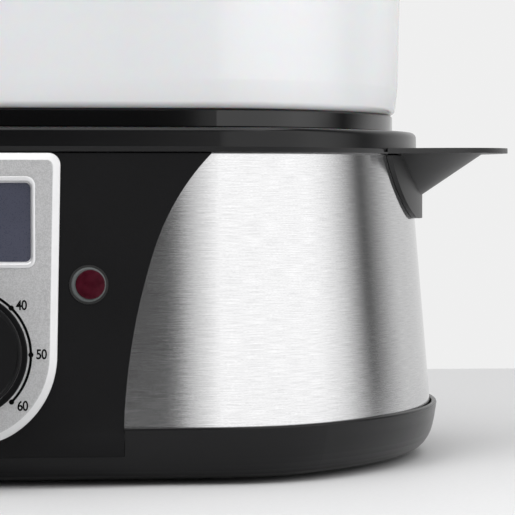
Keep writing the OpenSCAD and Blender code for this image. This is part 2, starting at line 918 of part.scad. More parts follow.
// Foot, wall, top ledge and neck of a basket, from its foot at height 0.
function basket_section(z) = [for (p = [
    [foot_in, 0], [-14.4, 0], [-13.3, 0.35], [-12.5, 1.1], [-12, 2.2], [-11.6, 4.4],
    [-11.3, 8], [-11.15, 13],
    [-9.8, 68], [-8.1, 69], [-7.7, 70.2], [-7.7, 77], [-8.5, 78], [neck_out, 78],
    [neck_out, 81.4], [neck_out - 0.5, 82], [neck_in + 0.5, 82], [neck_in, 81.4],
    [neck_in, 76.4], [-12, 73], [-13.3, 13], [-13.6, 6.2], [shelf_in, 6.2],
    [shelf_in, 4.4], [foot_in, 4.4]]) [p[0], p[1] + z + (p[1] > 60 ? basket_pitch - 78 : 0)]];

module basket(z) {
    grip = z + basket_pitch - 78;
    grip_section = [[-9, grip + 68.5], [3, grip + 70.4], [5.6, grip + 69.2], [7.6, grip + 69.6],
        [8.2, grip + 71], [7.6, grip + 73.4], [5.6, grip + 74.6], [-9, grip + 74.4]];
    color("#e4e4e6")
    union() {
        band(basket_section(z));
        for (s = [0, 180])
            rotate([0, 0, s]) end_band(grip_section, 17);
    }
}

egg_cups = [for (x = [-78, -26, 26, 78], y = [-40, 40]) [x, y]];
function clear_of_cups(p) = min([for (c = egg_cups) norm(p - c)]) > egg_cup_r + 3.4;
steam_holes = [for (x = [-104 : 13 : 104], y = [-78 : 13 : 78])
    if (clear_of_cups([x, y]) && norm([x, y * 1.36]) < 118) [x, y]];

module egg_grid(z) {
    edge = neck_in - 1.3;
    seat = z + 6.2;
    floor_t = 1.8;
    cup_h = 4.4;
    drain_r = 5;
    steam_hole_r = 2.3;
    color("#dcdcde")
    difference() {
        union() {
            plate(edge, seat, seat + floor_t);
            for (c = egg_cups)
                translate([c[0], c[1], seat + 1]) cylinder(r = egg_cup_r, h = cup_h);
            // low kerb that stiffens the edge
            band([[edge - 2, seat + 1], [edge, seat + 1], [edge, seat + 4], [edge - 2, seat + 4]]);
        }
        for (c = egg_cups)
            translate([c[0], c[1], seat + floor_t])
                cylinder(r1 = egg_cup_r - 4.4, r2 = egg_cup_r - 1.4, h = 5);
        for (c = egg_cups)
            translate([c[0], c[1], seat - 1]) cylinder(r = drain_r, h = 6);
        for (p = steam_holes)
            translate([p[0], p[1], seat - 1]) cylinder(r = steam_hole_r, h = 4);
    }
}

lower_z = tray_ledge;
upper_z = tray_ledge + basket_pitch;
lid_z = upper_z + basket_pitch;
lid_top = lid_z + 38;
lid_t = 2.2;
handle_foot_x = 24;
handle_half_w = 36;

module lower_basket() { basket(lower_z); }
module lower_egg_grid() { egg_grid(lower_z); }
module upper_basket() { basket(upper_z); }
module upper_egg_grid() { egg_grid(upper_z); }

vent_points = [for (s = [-1, 1], x = [44, 52, 60]) [s * x, 0]];

module lid() {
    outer = [[foot_in, 0], [-12.6, 0], [-11.6, 0.5], [-11.2, 1.6], [-11.2, 5], [-12.2, 10],
        [-14.6, 16], [-18.4, 22], [-23.4, 27.4], [-29.6, 31.8], [-36.6, 35], [-42, 36.8], [-47, 38]];
    inner = [[-47, 38 - lid_t], [-42.4, 34.5], [-37.4, 33], [-30.8, 30], [-25, 25.8], [-20.4, 20.8],
        [-16.8, 15.2], [-14.6, 9.6], [-13.6, 4.4], [foot_in, 4.4]];
    color("#e6e6e8")
    difference() {
        union() {
            band([for (p = concat(outer, inner)) [p[0], p[1] + lid_z]]);
            plate(-45, lid_top - lid_t, lid_top);
        }
        for (p = vent_points)
            translate([p[0], p[1], lid_top - 10]) cylinder(r = 2.4, h = 20);
        for (s = [-1, 1])
            translate([s * handle_foot_x, 0, lid_top - 10]) cylinder(r = 2.1, h = 20);
    }
}

module lid_handle() {
    bar_r = 6;
    bar_z = lid_top + 34;
    color("#1b1b1c")
    difference() {
        union() {
            cylinder_x(bar_r, -handle_half_w, handle_half_w, 0, bar_z - bar_r);
            for (s = [-1, 1]) {
                translate([s * handle_half_w, 0, bar_z - bar_r]) sphere(r = bar_r);
                translate([s * handle_foot_x, 0, lid_top]) cylinder(r1 = 8, r2 = 5.2, h = 26);
            }
        }
        for (s = [-1, 1])
            translate([s * handle_foot_x, 0, lid_top - 1]) cylinder(r = screw_r, h = 11);
    }
}

module lid_screws() {
    color("#8d8d90")
    for (s = [-1, 1])
        translate([s * handle_foot_x, 0, lid_top - lid_t]) {
            translate([0, 0, -2]) cylinder(r = 4, h = 2);
            cylinder(r = screw_r, h = 10);
        }
}

// ---------------------------------------------------------------- nodes

base_tray();
steel_skin();
front_fascia();
top_rim();
water_reservoir();
control_panel();
lcd_frame();
lcd_window();
lcd_module();
timer_knob();
knob_pointer();
encoder_shaft();
encoder_body();
encoder_nut();
indicator_lens();
indicator_holder();
indicator_led();
control_board();
board_screws();
power_relay();
buzzer();
capacitor();
wire_connector();
heater_plate();
heater_seal();
heating_coil();
heater_nuts();
thermostat();
thermal_fuse();
turbo_ring();
fill_spout_right();
fill_spout_left();
cord_gland();
gland_nut();
terminal_block();
mains_wires();
feed_wires();
heater_wires();
sensor_wires();
rubber_feet();
base_screws();
drip_tray();
lower_basket();
lower_egg_grid();
upper_basket();
upper_egg_grid();
lid();
lid_handle();
lid_screws();
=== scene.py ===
"""Looks of the oval food steamer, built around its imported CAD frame. Metres, +Z up, front faces -Y."""

import json
import math

import bmesh
import bpy
from mathutils import Matrix, Vector
from mathutils.geometry import delaunay_2d_cdt


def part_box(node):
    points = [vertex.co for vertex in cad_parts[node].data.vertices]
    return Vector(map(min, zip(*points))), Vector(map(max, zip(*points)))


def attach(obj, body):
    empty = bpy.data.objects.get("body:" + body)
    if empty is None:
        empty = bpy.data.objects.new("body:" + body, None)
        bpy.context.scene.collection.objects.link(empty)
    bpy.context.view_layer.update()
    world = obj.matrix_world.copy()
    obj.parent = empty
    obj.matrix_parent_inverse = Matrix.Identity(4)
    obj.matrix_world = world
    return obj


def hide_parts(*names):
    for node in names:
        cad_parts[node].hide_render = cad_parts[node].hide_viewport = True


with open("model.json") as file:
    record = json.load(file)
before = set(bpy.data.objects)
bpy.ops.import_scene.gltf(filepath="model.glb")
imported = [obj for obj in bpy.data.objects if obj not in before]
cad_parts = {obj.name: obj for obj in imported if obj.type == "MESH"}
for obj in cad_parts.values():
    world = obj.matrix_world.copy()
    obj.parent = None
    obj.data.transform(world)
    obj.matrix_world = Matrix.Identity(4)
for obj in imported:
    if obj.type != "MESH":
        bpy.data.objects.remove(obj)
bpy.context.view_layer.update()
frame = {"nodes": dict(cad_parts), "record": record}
MM = 0.001

# --- the plan outline, as in the CAD: flat front and back, corner arcs, end arcs (mm) ---
FLAT_HALF = 77.5
CORNER_R = 52.0
HALF_D = 116.0
SWEEP = math.radians(39)
CORNER_Y = HALF_D - CORNER_R
END_R = CORNER_R + CORNER_Y / math.cos(SWEEP)
END_X = FLAT_HALF + (CORNER_R - END_R) * math.sin(SWEEP)

# --- heights and offsets that the CAD nodes share (mm) ---
SKIN_FOOT = 14.0
SKIN_REF = 18.3
SKIN_TOP = 101.4
SKIN_LEAN = 7.0
FACE_TILT = math.atan(SKIN_LEAN / (SKIN_TOP - SKIN_REF))
FACE_D = 0.7
FACE_Z = 24.0
FASCIA_FOOT = 9.4
FASCIA_FOOT_HALF = 48.0
FASCIA_ARC_Z = 11.5
FASCIA_JOIN_Z = 72.0
FASCIA_LOW_R = 195.0
FASCIA_TOP_R = 76.0
COLLAR_Z = 111.4
COLLAR_CUT_R = 28.8
COLLAR_CORNER_Y = 33.2
END_ZONE = 100.0
KNOB_V = 16.4
KNOB_FACE = 17.0
NUT_HOLE_R = 6.4
LCD_V = 56.5
LCD_W = 40.8
LCD_H = 24.6
LCD_CORNER_R = 1.9
LAMP = (37.6, 37.6)
PANEL_T = 2.0
PANEL_TOP = 77.7
PANEL_HALF_W = 29.2
PANEL_FOOT_R = 28.0
PANEL_CORNER_R = 3.7

# --- details that only the looks have (mm) ---
JOIN_GAP = 0.02
STEEL_T = 0.8
EASE = 20.0
EASE_SLOPE = math.radians(1.5)
SPOUT_EDGE_R = 0.45
DIAL_R = 20.0
DIAL_START = math.radians(225)
DIAL_SWEEP = math.radians(270)


# ------------------------------------------------------------------ mesh helpers

def arc_stations(cx, cy, radius, start, sweep, count):
    """Points (x, y, nx, ny) along an arc, without its last point."""
    made = []
    for i in range(count):
        a = start + sweep * i / count
        made.append((cx + radius * math.cos(a), cy + radius * math.sin(a), math.cos(a), math.sin(a)))
    return made


def flat_stations(x0, x1, side, count):
    """Points (x, y, nx, ny) along the flat front, side -1, or the flat back, side 1."""
    return [(x0 + (x1 - x0) * i / count, side * HALF_D, 0.0, float(side)) for i in range(count)]


def half_perimeter(corner_steps, end_steps, flat_steps):
    """From the middle of the front, round the right-hand end, to the middle of the back."""
    q = math.pi / 2
    return (flat_stations(0, FLAT_HALF, -1, flat_steps)
            + arc_stations(FLAT_HALF, -CORNER_Y, CORNER_R, -q, SWEEP, corner_steps)
            + arc_stations(END_X, 0, END_R, -q + SWEEP, 2 * (q - SWEEP), end_steps)
            + arc_stations(FLAT_HALF, CORNER_Y, CORNER_R, q - SWEEP, SWEEP, corner_steps)
            + flat_stations(FLAT_HALF, 0, 1, flat_steps))


def perimeter(corner_steps=26, end_steps=72, flat_steps=8):
    """The whole plan outline as points (x, y, nx, ny), from the middle of the front."""
    half = half_perimeter(corner_steps, end_steps, flat_steps)
    return half + [(-x, -y, -nx, -ny) for x, y, nx, ny in half]


def rounded(corners, steps=5):
    """A closed or open run of (d, z, r) corners as points, each corner filleted with its radius r.

    A fillet takes at most a share of each side. A corner that is nearly straight gets a parabola.
    """
    most_share, least, least_share, nearly_straight = 0.49, 0.02, 0.2, math.radians(86)
    made = []
    count = len(corners)
    for i, (d, z, r) in enumerate(corners):
        here = Vector((d, z))
        to_last = Vector(corners[i - 1][:2]) - here
        to_next = Vector(corners[(i + 1) % count][:2]) - here
        if r <= 0 or to_last.length < 1e-6 or to_next.length < 1e-6:
            made.append((d, z))
            continue
        a, b = to_last.normalized(), to_next.normalized()
        half = a.angle(b) / 2
        shorter = min(to_last.length, to_next.length)
        reach = min(r / math.tan(half), shorter * most_share)
        reach = max(reach, min(least, shorter * least_share))
        if half > nearly_straight:
            made += [tuple(here + (a * (1 - k / steps) ** 2 + b * (k / steps) ** 2) * reach)
                     for k in range(steps + 1)]
            continue
        radius = reach * math.tan(half)
        centre = here + (a + b).normalized() * (radius / math.sin(half))
        start, end = here + a * reach - centre, here + b * reach - centre
        turn = start.angle_signed(end)
        for k in range(steps + 1):
            c, s = math.cos(-turn * k / steps), math.sin(-turn * k / steps)
            made.append((centre.x + start.x * c - start.y * s, centre.y + start.x * s + start.y * c))
    return made


def new_object(name, verts, faces, sharp=32, uvs=None):
    """A mesh object from points in mm, smooth apart from edges sharper than the given angle."""
    mesh = bpy.data.meshes.new(name)
    mesh.from_pydata([Vector(v) * MM for v in verts], [], faces)
    obj = bpy.data.objects.new(name, mesh)
    bpy.context.scene.collection.objects.link(obj)
    bm = bmesh.new()
    bm.from_mesh(mesh)
    if uvs is not None:
        layer = bm.loops.layers.uv.new("UVMap")
        for face in bm.faces:
            for loop in face.loops:
                loop[layer].uv = uvs[loop.vert.index]
    bmesh.ops.recalc_face_normals(bm, faces=bm.faces)
    bm.to_mesh(mesh)
    bm.free()
    smooth(obj, sharp)
    return obj


def smooth(obj, sharp):
    """Smooth shading apart from edges sharper than the given angle."""
    obj.data.shade_smooth()
    obj.data.set_sharp_from_angle(angle=math.radians(sharp))
    weighted = obj.modifiers.new("even_normals", "WEIGHTED_NORMAL")
    weighted.keep_sharp = True
    return obj


def settle(obj, sharp):
    """Makes an object's modifiers part of its mesh, then finds its sharp edges again."""
    for m in [m for m in obj.modifiers if m.type == "WEIGHTED_NORMAL"]:
        obj.modifiers.remove(m)
    bpy.context.view_layer.update()
    done = bpy.data.meshes.new_from_object(obj.evaluated_get(bpy.context.evaluated_depsgraph_get()))
    obj.modifiers.clear()
    obj.data = done
    return smooth(obj, sharp)


def apply_cut(obj, cutter, sharp):
    """Cuts one mesh out of another for good, and removes the cutter."""
    cut = obj.modifiers.new("cut", "BOOLEAN")
    cut.operation = "DIFFERENCE"
    cut.solver = "EXACT"
    cut.object = cutter
    settle(obj, sharp)
    bpy.data.objects.remove(cutter)


def ring_faces(rows, cols, close_rows=True, close_cols=True):
    """Quads of a grid of points stored station by station, cols points in each."""
    made = []
    for i in range(rows if close_rows else rows - 1):
        for j in range(cols if close_cols else cols - 1):
            a, b = i * cols, (i + 1) % rows * cols
            k = (j + 1) % cols
            made.append((a + j, b + j, b + k, a + k))
    return made


def sweep(name, profile, stations=None):
    """A closed profile of (offset, height) carried round the plan outline; it may change with the place."""
    stations = stations or perimeter()
    verts = []
    for x, y, nx, ny in stations:
        points = profile(x, y) if callable(profile) else profile
        verts += [(x + d * nx, y + d * ny, z) for d, z in points]
    cols = len(verts) // len(stations)
    return new_object(name, verts, ring_faces(len(stations), cols))


def lathe(name, profile, steps=96, sharp=32):
    """A run of (radius, height) points turned about +Z. A radius of 0 closes the end."""
    verts, faces, rings = [], [], []
    for r, h in profile:
        if r <= 1e-6:
            rings.append([len(verts)])
            verts.append((0, 0, h))
        else:
            rings.append(list(range(len(verts), len(verts) + steps)))
            verts += [(r * math.cos(2 * math.pi * i / steps), r * math.sin(2 * math.pi * i / steps), h)
                      for i in range(steps)]
    for low, high in zip(rings, rings[1:]):
        for i in range(steps):
            k = (i + 1) % steps
            corners = [low[i % len(low)], low[k % len(low)], high[k % len(high)], high[i % len(high)]]
            faces.append(tuple(dict.fromkeys(corners)))
    return new_object(name, verts, faces, sharp)


def on_face(x, v, w):
    """A point in mm on the leaning control face: x across, v up the face, w out of it."""
    c, s = math.cos(FACE_TILT), math.sin(FACE_TILT)
    return Vector((x, -HALF_D - FACE_D + v * s - w * c, FACE_Z + v * c + w * s))


def face_matrix(x=0.0, v=0.0, w=0.0):
    """Turns local x, y, z (metres) into across, up and out of the control face at a point given in mm."""
    turn = Matrix.Rotation(math.pi / 2 - FACE_TILT, 4, "X")
    return Matrix.Translation(on_face(x, v, w) * MM) @ turn


def lay_on_face(obj, x=0.0, v=0.0, w=0.0):
    obj.data.transform(face_matrix(x, v, w))
    return obj


def flat_shape(outer, holes):
    """Triangles that fill a flat outline with holes: (points, faces)."""
    points, edges = [], []
    for loop in (outer, *holes):
        start = len(points)
        points += [Vector(p) for p in loop]
        edges += [(start + i, start + (i + 1) % len(loop)) for i in range(len(loop))]
    verts, _, faces, *_ = delaunay_2d_cdt(points, edges, [], 2, 1e-7)

    def inside(c, loop):
        odd = False
        for (x0, y0), (x1, y1) in zip(loop, list(loop[1:]) + [loop[0]]):
            if (y0 > c.y) != (y1 > c.y) and c.x < (x1 - x0) * (c.y - y0) / (y1 - y0) + x0:
                odd = not odd
        return odd

    kept = []
    for face in faces:
        centre = sum((verts[i] for i in face), Vector((0, 0))) / len(face)
        if inside(centre, outer) and not any(inside(centre, h) for h in holes):
            kept.append(face)
    return verts, kept


def layered_plate(name, levels, holes, back, sharp=20):
    """A plate built from outlines of equal length at rising heights [(points, w), ...].

    Its face is filled round its holes, whose walls go back to the given height.
    """
    verts, faces = [], []
    count = len(levels[0][0])
    for points, w in levels:
        verts += [(x, y, w) for x, y in points]
    for i in range(len(levels) - 1):
        for j in range(count):
            k = (j + 1) % count
            faces.append((i * count + j, i * count + k, (i + 1) * count + k, (i + 1) * count + j))
    face_w = levels[-1][1]
    flat, triangles = flat_shape(levels[-1][0], holes)
    start = len(verts)
    verts += [(p.x, p.y, face_w) for p in flat]
    faces += [tuple(start + i for i in t) for t in triangles]
    start = len(verts)
    flat, triangles = flat_shape(levels[0][0], holes)
    verts += [(p.x, p.y, back) for p in flat]
    faces += [tuple(start + i for i in reversed(t)) for t in triangles]
    for hole in holes:
        start, n = len(verts), len(hole)
        verts += [(x, y, w) for w in (face_w, back) for x, y in hole]
        for j in range(n):
            k = (j + 1) % n
            faces.append((start + j, start + n + j, start + n + k, start + k))
    obj = new_object(name, verts, faces, sharp)
    bm = bmesh.new()
    bm.from_mesh(obj.data)
    bmesh.ops.remove_doubles(bm, verts=bm.verts, dist=1e-6)
    bmesh.ops.recalc_face_normals(bm, faces=bm.faces)
    bm.to_mesh(obj.data)
    bm.free()
    obj.data.set_sharp_from_angle(angle=math.radians(sharp))
    return obj


def circle_points(r, steps, x, y):
    """Points round a circle."""
    return [(x + r * math.cos(2 * math.pi * i / steps), y + r * math.sin(2 * math.pi * i / steps))
            for i in range(steps)]


def rounded_rect(w, h, r, x=0.0, y=0.0, steps=8):
    """Points round a rectangle with rounded corners, centred on (x, y)."""
    points = []
    for cx, cy, a in ((1, 1, 0), (-1, 1, 90), (-1, -1, 180), (1, -1, 270)):
        for i in range(steps + 1):
            t = math.radians(a + 90 * i / steps)
            points.append((x + cx * (w / 2 - r) + r * math.cos(t), y + cy * (h / 2 - r) + r * math.sin(t)))
    return points


# ------------------------------------------------------------------ materials

def material(name, **sockets):
    """A Principled material with the given socket values; returns (material, nodes, links, shader)."""
    mat = bpy.data.materials.new(name)
    mat.use_nodes = True
    nodes, links = mat.node_tree.nodes, mat.node_tree.links
    shader = nodes["Principled BSDF"]
    for key, value in sockets.items():
        socket = shader.inputs[key.replace("_", " ")]
        socket.default_value = (*value, 1.0) if isinstance(value, tuple) else value
    return mat, nodes, links, shader


def noise(nodes, links, scale, stretch=(1, 1, 1), detail=2.0, coords="Object"):
    """A noise texture with its scale in features per metre; a small stretch factor draws an axis out."""
    where = nodes.new("ShaderNodeTexCoord")
    mapping = nodes.new("ShaderNodeMapping")
    mapping.inputs["Scale"].default_value = stretch
    texture = nodes.new("ShaderNodeTexNoise")
    texture.inputs["Scale"].default_value = scale
    texture.inputs["Detail"].default_value = detail
    links.new(where.outputs[coords], mapping.inputs["Vector"])
    links.new(mapping.outputs["Vector"], texture.inputs["Vector"])
    return texture.outputs["Fac"]


def spread(nodes, links, value, low, high, from_low=0.3, from_high=0.7):
    """The value from its middle range mapped to low..high."""
    node = nodes.new("ShaderNodeMapRange")
    node.inputs["From Min"].default_value = from_low
    node.inputs["From Max"].default_value = from_high
    node.inputs["To Min"].default_value = low
    node.inputs["To Max"].default_value = high
    links.new(value, node.inputs["Value"])
    return node.outputs["Result"]


def tint(nodes, links, value, dark, light, shader):
    """Sets the base colour, from dark to light over the middle of the value's range."""
    ramp = nodes.new("ShaderNodeValToRGB")
    ramp.color_ramp.elements[0].position, ramp.color_ramp.elements[1].position = 0.3, 0.7
    ramp.color_ramp.elements[0].color = (*dark, 1)
    ramp.color_ramp.elements[1].color = (*light, 1)
    links.new(value, ramp.inputs["Fac"])
    links.new(ramp.outputs["Color"], shader.inputs["Base Color"])


def bump(nodes, links, value, height_mm, shader, strength=1.0):
    """Adds the value to the surface as relief of the given height."""
    node = nodes.new("ShaderNodeBump")
    node.inputs["Distance"].default_value = height_mm * MM
    node.inputs["Strength"].default_value = strength
    links.new(value, node.inputs["Height"])
    links.new(node.outputs["Normal"], shader.inputs["Normal"])


def plastic(name, colour, rough, grain=1800, height=0.02, vary=0.12, **more):
    """Moulded plastic: a fine grain, a slow drift of colour and uneven gloss."""
    mat, nodes, links, shader = material(name, **more)
    fine = noise(nodes, links, grain, detail=3)
    slow = noise(nodes, links, 22, detail=4)
    tint(nodes, links, slow, tuple(c * (1 - vary) for c in colour), tuple(c * (1 + vary) for c in colour),
         shader)
    links.new(spread(nodes, links, slow, rough * 0.92, rough * 1.08), shader.inputs["Roughness"])
    bump(nodes, links, fine, height, shader)
    return mat


def metal(name, colour, rough, grain=1500, height=0.01):
    """Bare or plated metal with fine tool marks."""
    mat, nodes, links, shader = material(name, Metallic=1.0)
    fine = noise(nodes, links, grain, detail=3)
    dark, light = tuple(c * 0.92 for c in colour), tuple(min(c * 1.06, 1) for c in colour)
    tint(nodes, links, fine, dark, light, shader)
    links.new(spread(nodes, links, fine, rough * 0.85, rough * 1.15), shader.inputs["Roughness"])
    bump(nodes, links, fine, height, shader)
    return mat


def brushed_steel():
    """Sheet steel brushed along the base: long fine scratches in u, the direction round the body."""
    mat, nodes, links, shader = material(
        "steel_brushed", Metallic=1.0, Anisotropic=1.0, Anisotropic_Rotation=0.25)
    long_marks = noise(nodes, links, 1.0, (130, 4200, 1), detail=4, coords="UV")
    fine_marks = noise(nodes, links, 1.0, (900, 9000, 1), detail=3, coords="UV")
    drift = noise(nodes, links, 1.0, (9, 26, 1), detail=3, coords="UV")
    mix = nodes.new("ShaderNodeMix")
    mix.inputs["Factor"].default_value = 0.45
    links.new(long_marks, mix.inputs["A"])
    links.new(fine_marks, mix.inputs["B"])
    marks = mix.outputs["Result"]
    tint(nodes, links, marks, (0.49, 0.49, 0.495), (0.76, 0.76, 0.765), shader)
    add = nodes.new("ShaderNodeMath")
    add.operation = "ADD"
    links.new(spread(nodes, links, marks, 0.09, 0.12), add.inputs[0])
    links.new(spread(nodes, links, drift, -0.01, 0.01), add.inputs[1])
    links.new(add.outputs["Value"], shader.inputs["Roughness"])
    bump(nodes, links, long_marks, 0.006, shader)
    tangent = nodes.new("ShaderNodeTangent")
    tangent.direction_type = "UV_MAP"
    tangent.uv_map = "UVMap"
    links.new(tangent.outputs["Tangent"], shader.inputs["Tangent"])
    return mat


def milky_plastic():
    """Translucent white polypropylene with a polished outside."""
    mat, nodes, links, shader = material(
        "milky_polypropylene", Subsurface_Weight=0.35, Subsurface_Scale=0.004, IOR=1.49,
        Coat_Weight=0.25, Coat_Roughness=0.06)
    slow = noise(nodes, links, 14, detail=3)
    fine = noise(nodes, links, 900, detail=2)
    tint(nodes, links, slow, (0.785, 0.785, 0.80), (0.815, 0.815, 0.83), shader)
    links.new(spread(nodes, links, slow, 0.16, 0.21), shader.inputs["Roughness"])
    bump(nodes, links, fine, 0.002, shader)
    return mat


def silver_paint():
    """Metallic silver paint: a fine sparkle of flakes over a pale grey, brighter on the cut edge."""
    mat, nodes, links, shader = material("silver_paint", Metallic=0.55)
    where = nodes.new("ShaderNodeTexCoord")
    flakes = nodes.new("ShaderNodeTexVoronoi")
    flakes.inputs["Scale"].default_value = 3200
    links.new(where.outputs["Object"], flakes.inputs["Vector"])
    gray = nodes.new("ShaderNodeRGBToBW")
    links.new(flakes.outputs["Color"], gray.inputs["Color"])
    tint(nodes, links, gray.outputs["Val"], (0.50, 0.50, 0.505), (0.60, 0.60, 0.605), shader)
    lean = nodes.new("ShaderNodeVectorMath")
    lean.operation = "DOT_PRODUCT"
    lean.inputs[1].default_value = (0, -math.cos(FACE_TILT), math.sin(FACE_TILT))
    links.new(where.outputs["Normal"], lean.inputs[0])
    edge = spread(nodes, links, lean.outputs["Value"], 1, 0, 0.93, 0.985)
    cut = nodes.new("ShaderNodeMix")
    cut.data_type = "RGBA"
    cut.inputs["B"].default_value = (0.73, 0.73, 0.735, 1)
    links.new(edge, cut.inputs["Factor"])
    links.new(shader.inputs["Base Color"].links[0].from_socket, cut.inputs["A"])
    links.new(cut.outputs["Result"], shader.inputs["Base Color"])
    links.new(spread(nodes, links, gray.outputs["Val"], 0.34, 0.5), shader.inputs["Roughness"])
    bump(nodes, links, gray.outputs["Val"], 0.008, shader)
    return mat


def display_glass():
    """The switched-off display: a dark slate liquid crystal under clear glass."""
    mat, nodes, links, shader = material("display_slate", Coat_Weight=1.0, Coat_Roughness=0.03)
    cells = noise(nodes, links, 2600, detail=1)
    slow = noise(nodes, links, 60, detail=2)
    tint(nodes, links, slow, (0.046, 0.050, 0.078), (0.060, 0.064, 0.098), shader)
    links.new(spread(nodes, links, cells, 0.25, 0.35), shader.inputs["Roughness"])
    return mat


def red_lens():
    """The lamp's cap: a deep red plastic that hardly shines."""
    mat, nodes, links, shader = material(
        "lens_deep_red", Transmission_Weight=0.1, Specular_IOR_Level=0.2, Coat_Weight=0.05,
        Coat_Roughness=0.05)
    slow = noise(nodes, links, 500, detail=2)
    tint(nodes, links, slow, (0.040, 0.0016, 0.0065), (0.062, 0.003, 0.011), shader)
    links.new(spread(nodes, links, slow, 0.14, 0.2), shader.inputs["Roughness"])
    return mat


MATERIALS = {
    "tray_black": plastic("tray_satin_black", (0.0050, 0.0050, 0.0055), 0.25, height=0.006,
                          Specular_IOR_Level=0.24),
    "brushed_steel": brushed_steel(),
    "fascia_black": plastic("fascia_fine_grain", (0.0055, 0.0055, 0.006), 0.50, grain=1500, height=0.03,
                            Specular_IOR_Level=0.12),
    "rim_black": plastic("rim_satin_black", (0.0036, 0.0036, 0.0040), 0.18, grain=1500, height=0.006,
                         Specular_IOR_Level=0.29),
    "reservoir_grey": plastic("reservoir_satin", (0.018, 0.018, 0.020), 0.35),
    "panel_silver": silver_paint(),
    "bright_bead": plastic("bead_satin", (0.74, 0.74, 0.75), 0.34, height=0.001, vary=0.03, Metallic=0.35),
    "display_glass": display_glass(),
    "module_grey": plastic("module_grey", (0.10, 0.11, 0.11), 0.5),
    "knob_black": plastic("knob_satin_black", (0.0055, 0.0055, 0.006), 0.34, grain=2600, height=0.012,
                          Specular_IOR_Level=0.16),
    "pointer_white": plastic("pointer_white", (0.70, 0.70, 0.69), 0.30, height=0.002),
    "turned_steel": metal("steel_turned", (0.58, 0.58, 0.59), 0.30),
    "plated_steel": metal("zinc_plate", (0.56, 0.57, 0.59), 0.26),
    "lens_red": red_lens(),
    "holder_black": plastic("holder_black", (0.007, 0.007, 0.007), 0.45),
    "led_red": plastic("led_red", (0.45, 0.03, 0.02), 0.15, height=0.001),
    "board_green": plastic("solder_resist", (0.012, 0.07, 0.03), 0.28, grain=700, height=0.02),
    "relay_blue": plastic("relay_blue", (0.02, 0.09, 0.30), 0.3),
    "capacitor_blue": plastic("capacitor_blue", (0.02, 0.03, 0.18), 0.25),
    "nylon_white": plastic("nylon_white", (0.66, 0.64, 0.56), 0.45),
    "seal_red": plastic("silicone_red", (0.30, 0.06, 0.035), 0.55),
    "element_steel": metal("element_dulled", (0.36, 0.35, 0.33), 0.42, grain=900, height=0.02),
    "brass": metal("brass", (0.60, 0.43, 0.16), 0.28),
    "ceramic_tan": plastic("ceramic_tan", (0.50, 0.40, 0.24), 0.6),
    "ring_grey": plastic("ring_satin", (0.030, 0.034, 0.038), 0.38),
    "spout_black": plastic("spout_satin_black", (0.0068, 0.0068, 0.0072), 0.38, grain=1500, height=0.008,
                           Specular_IOR_Level=0.40),
    "gland_black": plastic("gland_black", (0.010, 0.010, 0.010), 0.5),
    "wire_brown": plastic("wire_brown", (0.14, 0.06, 0.03), 0.4),
    "wire_blue": plastic("wire_blue", (0.03, 0.09, 0.25), 0.4),
    "wire_red": plastic("wire_red", (0.40, 0.03, 0.02), 0.4),
    "wire_yellow": plastic("wire_yellow", (0.55, 0.45, 0.04), 0.4),
    "feet_rubber": plastic("feet_rubber", (0.022, 0.022, 0.022), 0.7, grain=900, height=0.04),
    "drip_black": plastic("drip_gloss_black", (0.0012, 0.0012, 0.0015), 0.06, height=0.0008),
    "milky_white": milky_plastic(),
    "handle_black": plastic("handle_satin_black", (0.010, 0.010, 0.0105), 0.40, height=0.01),
}
PRINT_BLACK = plastic("print_black", (0.0022, 0.0022, 0.0022), 0.5, height=0.001, Specular_IOR_Level=0.04)


def dress(obj, slot):
    """Gives a new piece the material of the given slot."""
    obj.data.materials.clear()
    obj.data.materials.append(MATERIALS[slot])
    return obj


def piece(obj, slot, body, *nodes):
    """A finished piece: material, body and the CAD nodes that it stands for."""
    dress(obj, slot)
    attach(obj, body)
    if nodes:
        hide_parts(*nodes)
    return obj


# ------------------------------------------------------------------ base

def skin_offset(z):
    """How far outside the plan outline the steel lies at a height. It leans in as it rises."""
    return -(z - SKIN_REF) * SKIN_LEAN / (SKIN_TOP - SKIN_REF)


def fascia_half(z):
    """Half width of the black fascia at a height: straight at the foot, then two arcs that meet tangent."""
    if z <= FASCIA_ARC_Z:
        return FASCIA_FOOT_HALF
    x, y, r = FASCIA_FOOT_HALF + FASCIA_LOW_R, FASCIA_ARC_Z, FASCIA_LOW_R
    if z > FASCIA_JOIN_Z:
        rise = FASCIA_JOIN_Z - y
        share = 1 - FASCIA_TOP_R / r
        x -= math.sqrt(r * r - rise * rise) * share
        y += rise * share
        r = FASCIA_TOP_R
    return x - math.sqrt(r * r - (z - y) ** 2)


def skin_height(x, y):
    """Top of the steel at a place on the outline: it dips in a round-cornered cut-out behind each spout."""
    past_corner = max(abs(y) - COLLAR_CORNER_Y, 0)
    if abs(x) < END_ZONE or past_corner >= COLLAR_CUT_R:
        return SKIN_TOP
    return min(SKIN_TOP, COLLAR_Z - math.sqrt(COLLAR_CUT_R ** 2 - past_corner ** 2))


def front_ease(past):
    """How far the steel is drawn in near a front corner, so that its bend starts gently.

    The place is given by its distance past the end of the flat front, negative on the flat.
    """
    start = EASE * EASE_SLOPE / 3
    if past <= 0:
        return start * max(0, 1 + past / EASE) ** 3
    bend = CORNER_R * SWEEP
    t = min(past / bend, 1)
    return start * (1 - t) ** 2 * (1 + (EASE_SLOPE * bend / start + 2) * t)


